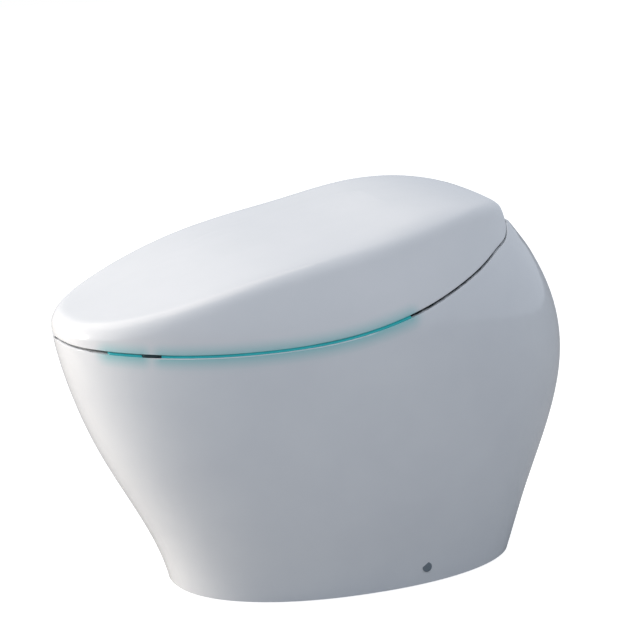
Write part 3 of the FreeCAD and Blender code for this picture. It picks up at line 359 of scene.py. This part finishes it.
def treeOf(*names):
    corners, faces = [], []
    for name in names:
        mesh, first = nodes[name].data, len(corners)
        corners += [vertex.co.copy() for vertex in mesh.vertices]
        faces += [[first + corner for corner in polygon.vertices] for polygon in mesh.polygons]
    return BVHTree.FromPolygons(corners, faces)


def outward(form, turn):
    return Vector((form["halfWidth"] * math.cos(turn), form["halfLength"] * math.sin(turn), 0))


def turnsOf(form):
    return [2 * math.pi * (column + 0.5) / form["columns"] for column in range(form["columns"])]


def sideHit(tree, form, turn, height):
    reach = outward(form, turn)
    far = Vector((0, form["middle"], height)) + reach * rays["from"]
    return tree.ray_cast(far, -reach.normalized(), reach.length * rays["length"])[0]


def topHit(tree, place):
    return tree.ray_cast(Vector((place.x, place.y, rays["above"])), Vector((0, 0, -1)), rays["drop"])[0]


def nearby(first, second, jump):
    return first is not None and ((first - second) * plan).length < jump


def halve(test, inside, outside):
    for _ in range(rays["halvings"]):
        middle = (inside + outside) / 2
        inside, outside = (middle, outside) if test(middle) else (inside, middle)
    return inside


def edgeOf(tree, form, turn, start, step):
    height, last = start, sideHit(tree, form, turn, start)

    def goesOn(place):
        return nearby(sideHit(tree, form, turn, place), last, form["jump"])

    while goesOn(height + step):
        height += step
        last = sideHit(tree, form, turn, height)
    return halve(goesOn, height, height + step)


def wrapGrid(name, profiles):
    columns, rows = len(profiles), len(profiles[0]) - 1
    bpy.ops.object.select_all(action="DESELECT")
    bpy.ops.mesh.primitive_grid_add(x_subdivisions=columns, y_subdivisions=rows, size=1)
    piece = bpy.context.object
    piece.name = name
    for index, vertex in enumerate(piece.data.vertices):
        row, column = divmod(index, columns + 1)
        vertex.co = profiles[column % columns][row]
    bpy.ops.object.mode_set(mode="EDIT")
    bpy.ops.mesh.select_all(action="SELECT")
    bpy.ops.mesh.remove_doubles(threshold=shading["merge"])
    bpy.ops.mesh.normals_make_consistent(inside=False)
    bpy.ops.mesh.select_all(action="DESELECT")
    bpy.ops.object.mode_set(mode="OBJECT")
    return piece


def pick(piece, kind, test):
    bpy.ops.object.mode_set(mode="EDIT")
    bpy.ops.mesh.select_mode(type=kind)
    bpy.ops.mesh.select_all(action="DESELECT")
    bpy.ops.object.mode_set(mode="OBJECT")
    for part in piece.data.edges if kind == "EDGE" else piece.data.polygons:
        part.select = test(part)
    bpy.ops.object.mode_set(mode="EDIT")


def addModifier(piece, kind, **settings):
    modifier = piece.modifiers.new(kind.lower(), kind)
    for key, value in settings.items():
        setattr(modifier, key, value)
    activate(piece)
    bpy.ops.object.modifier_apply(modifier=modifier.name)


def seat(piece, body, slot):
    piece.data.materials.clear()
    piece.data.materials.append(finishes[slot])
    activate(piece)
    bpy.ops.object.shade_smooth_by_angle(angle=math.radians(shading["pieceAngle"]))
    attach(piece, body)


# how far and how strongly the strip's teal glow is painted into the base colour beside it
paintedGlowSpread = {"reach": 0.022, "power": 1.6, "most": 0.85}


# painted glow: a per-vertex share of teal base colour that fades with distance from the light guides
def paintStripGlow(piece):
    strip = treeOf("light_guides")
    paintedGlowFade = piece.data.attributes.new("paintedGlowShare", "FLOAT", "POINT")
    for place, vertex in zip(paintedGlowFade.data, piece.data.vertices):
        away = strip.find_nearest(vertex.co, paintedGlowSpread["reach"])[3]
        if away is not None:
            place.value = paintedGlowSpread["most"] * (1 - away / paintedGlowSpread["reach"]) ** paintedGlowSpread["power"]


lidForm = {
    "columns": 112,         # points round the lid
    "halfWidth": 0.217, "halfLength": 0.335, "middle": -0.065,
    "lowest": 0.36, "highest": 0.60, "scanStep": 0.002, "jump": 0.006,
    "knuckle": 0.034,       # how far inside its surface the shoulder's middle lies
    "leastSide": 0.016,
    "sideShares": (0.33, 0.66),
    "shoulderTurns": (0, 16, 32, 45, 58, 74, 90),
    "shoulderRay": (0.25, 0.3),
    "topSteps": (0.9, 0.78, 0.66, 0.54),
    "centralShare": 0.7,    # the open rim inside this share of the plan is the one to fill
    "wall": 0.004,
}


def lidProfile(tree, form, turn):
    steps = int((form["highest"] - form["lowest"]) / form["scanStep"])
    hits = [sideHit(tree, form, turn, form["lowest"] + form["scanStep"] * step) for step in range(steps)]
    widest = max(filter(None, hits), key=lambda hit: (hit.xy - Vector((0, form["middle"]))).length)
    low = edgeOf(tree, form, turn, widest.z, -rays["edgeStep"])
    reach = outward(form, turn).normalized()
    foot = sideHit(tree, form, turn, low)
    crown = topHit(tree, foot - reach * form["knuckle"])
    knuckle = Vector((crown.x, crown.y, max(crown.z - form["knuckle"], low + form["leastSide"])))
    side = knuckle.z - low - lipSteps[-1]
    rises = [*lipSteps, *(lipSteps[-1] + side * share for share in form["sideShares"])]
    points = [sideHit(tree, form, turn, low + rise) for rise in rises]
    away, length = form["shoulderRay"]
    for degrees in form["shoulderTurns"]:
        lean = reach * math.cos(math.radians(degrees)) + Vector((0, 0, math.sin(math.radians(degrees))))
        points.append(tree.ray_cast(knuckle + lean * away, -lean, length)[0])
    middle = Vector((0, form["middle"], 0))
    flat = knuckle * plan - middle
    return points + [topHit(tree, middle + flat * step) for step in form["topSteps"]]


def closeTop(piece, tree, form):
    mesh = piece.data
    uses = {}
    for polygon in mesh.polygons:
        for key in polygon.edge_keys:
            uses[key] = uses.get(key, 0) + 1

    def innerRim(edge):
        place = mesh.vertices[edge.key[0]].co
        share = math.hypot(place.x / form["halfWidth"], (place.y - form["middle"]) / form["halfLength"])
        return uses[edge.key] == 1 and share < form["centralShare"]

    before = len(mesh.vertices)
    pick(piece, "EDGE", innerRim)
    bpy.ops.mesh.fill_grid(span=form["columns"] // 4)
    bpy.ops.mesh.select_all(action="SELECT")
    bpy.ops.mesh.normals_make_consistent(inside=False)
    bpy.ops.mesh.select_all(action="DESELECT")
    bpy.ops.object.mode_set(mode="OBJECT")
    for vertex in mesh.vertices[before:]:
        vertex.co = topHit(tree, vertex.co)


def makeLid():
    tree = treeOf("lid_shell")
    piece = wrapGrid("lidShell", [lidProfile(tree, lidForm, turn) for turn in turnsOf(lidForm)])
    closeTop(piece, tree, lidForm)
    addModifier(piece, "SOLIDIFY", thickness=lidForm["wall"], offset=-1, use_even_offset=True, use_rim=True)
    addModifier(piece, "SUBSURF", levels=2, render_levels=2)
    paintStripGlow(piece)
    seat(piece, "lid", "lid_plastic")
    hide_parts("lid_shell")


glazeForm = {
    "columns": 224,
    "halfWidth": 0.217, "halfLength": 0.4, "middle": 0.0,
    "scanFrom": 0.37, "jump": 0.004,
    "rows": 26,
    "footSteps": (0.0002, 0.002, 0.006),
    "spanned": 0.03,        # a hit this much further in than its neighbour lies in a tube's hole
    "proud": 0.00025,       # the glaze lies this far over the casting
    "lipTurn": 0.003,
    "lipShares": (0.0, 0.12, 1.0),
    "lipTuck": 0.004,
    "windowMargin": 0.03,
}


def glazeProfile(tree, form, turn):
    top = edgeOf(tree, form, turn, form["scanFrom"], rays["edgeStep"])
    start = top - lipSteps[-1]
    foot = form["footSteps"]
    rises = [*foot, *(start * step / form["rows"] for step in range(1, form["rows"]))]
    rises += [top - step for step in reversed(lipSteps)]
    points = [sideHit(tree, form, turn, rise) for rise in rises]
    for place in range(len(foot), len(points) - len(lipSteps) + 1):
        if not nearby(points[place], points[place - 1], form["spanned"]):
            points[place] = points[place - 1] * 2 - points[place - 2]
    points[0].z = 0.0
    return points


def turnOver(form, turn, points):
    away = outward(form, turn).normalized()
    lip, lift = points[-1], Vector((0, 0, form["proud"]))
    skin = [point + away * form["proud"] for point in points]
    over = [lip - away * form["lipTurn"] * share + lift for share in form["lipShares"]]
    return skin + over + [lip - away * form["lipTurn"] - Vector((0, 0, form["lipTuck"]))]


def openWindow(piece, low, high, margin):
    beyond = Vector((margin, margin, margin))

    def within(face, near, far):
        place = face.center
        return near.x < place.x < far.x and near.z < place.z < far.z and place.y > low.y - margin

    for corner, facing in ((low, (1, 0, 0)), (high, (1, 0, 0)), (low, (0, 0, 1)), (high, (0, 0, 1))):
        pick(piece, "FACE", lambda face: within(face, low - beyond, high + beyond))
        bpy.ops.mesh.bisect(plane_co=corner, plane_no=facing)
        bpy.ops.object.mode_set(mode="OBJECT")
    pick(piece, "FACE", lambda face: within(face, low, high))
    bpy.ops.mesh.delete(type="FACE")
    bpy.ops.object.mode_set(mode="OBJECT")


def makeGlaze():
    tree = treeOf("ceramic_body", "rear_cover")
    profiles = [turnOver(glazeForm, turn, glazeProfile(tree, glazeForm, turn)) for turn in turnsOf(glazeForm)]
    piece = wrapGrid("glazedSkin", profiles)
    addModifier(piece, "SUBSURF", levels=1, render_levels=1)
    openWindow(piece, *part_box("rear_cover"), glazeForm["windowMargin"])
    paintStripGlow(piece)
    seat(piece, "base", "ceramic")


makeLid()
makeGlaze()
print("shells are made")


water = {
    "level": 0.172, "depth": 0.0015, "back": -0.052, "points": 64, "startRadius": 0.03, "hair": 0.0004,
    "colour": "#EAF5F3", "roughness": 0.02, "bending": 1.333,
    "swellScale": 30.0, "swellDetail": 1.0, "swellBump": 0.15, "swellHeight": 0.0005,
}


def clearWater():
    material, tree = startMaterial("clearWater")  # still tap water, faint green in depth
    spot = addNode(tree, "ShaderNodeTexCoord").outputs["Object"]
    swell = addNode(tree, "ShaderNodeTexNoise",
                    {"Scale": water["swellScale"], "Detail": water["swellDetail"]}, {"Vector": spot})
    bump = addNode(tree, "ShaderNodeBump", {"Strength": water["swellBump"], "Distance": water["swellHeight"]},
                   {"Height": swell.outputs["Fac"]})
    surface = addNode(tree, "ShaderNodeBsdfPrincipled",
                      {"Base Color": linear(water["colour"]), "Roughness": water["roughness"],
                       "IOR": water["bending"], "Transmission Weight": 1.0},
                      {"Normal": bump.outputs["Normal"]})
    addNode(tree, "ShaderNodeOutputMaterial", links={"Surface": surface.outputs[0]})
    return material


def fillBowl():
    tree = treeOf("bowl_basin")
    middle = Vector((0, water["back"], water["level"]))
    bpy.ops.object.select_all(action="DESELECT")
    bpy.ops.mesh.primitive_cylinder_add(
        vertices=water["points"], radius=water["startRadius"], depth=water["depth"], location=middle)
    piece = bpy.context.object
    piece.name = "standingWater"
    bpy.ops.object.transform_apply(location=True, rotation=True, scale=True)
    for vertex in piece.data.vertices:
        away = ((vertex.co - middle) * plan).normalized()
        wall = tree.ray_cast(middle, away)[0]
        vertex.co = wall - away * water["hair"] + Vector((0, 0, vertex.co.z - water["level"]))
    piece.data.materials.clear()
    piece.data.materials.append(clearWater())
    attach(piece, "base")


fillBowl()
print("water is in the bowl")
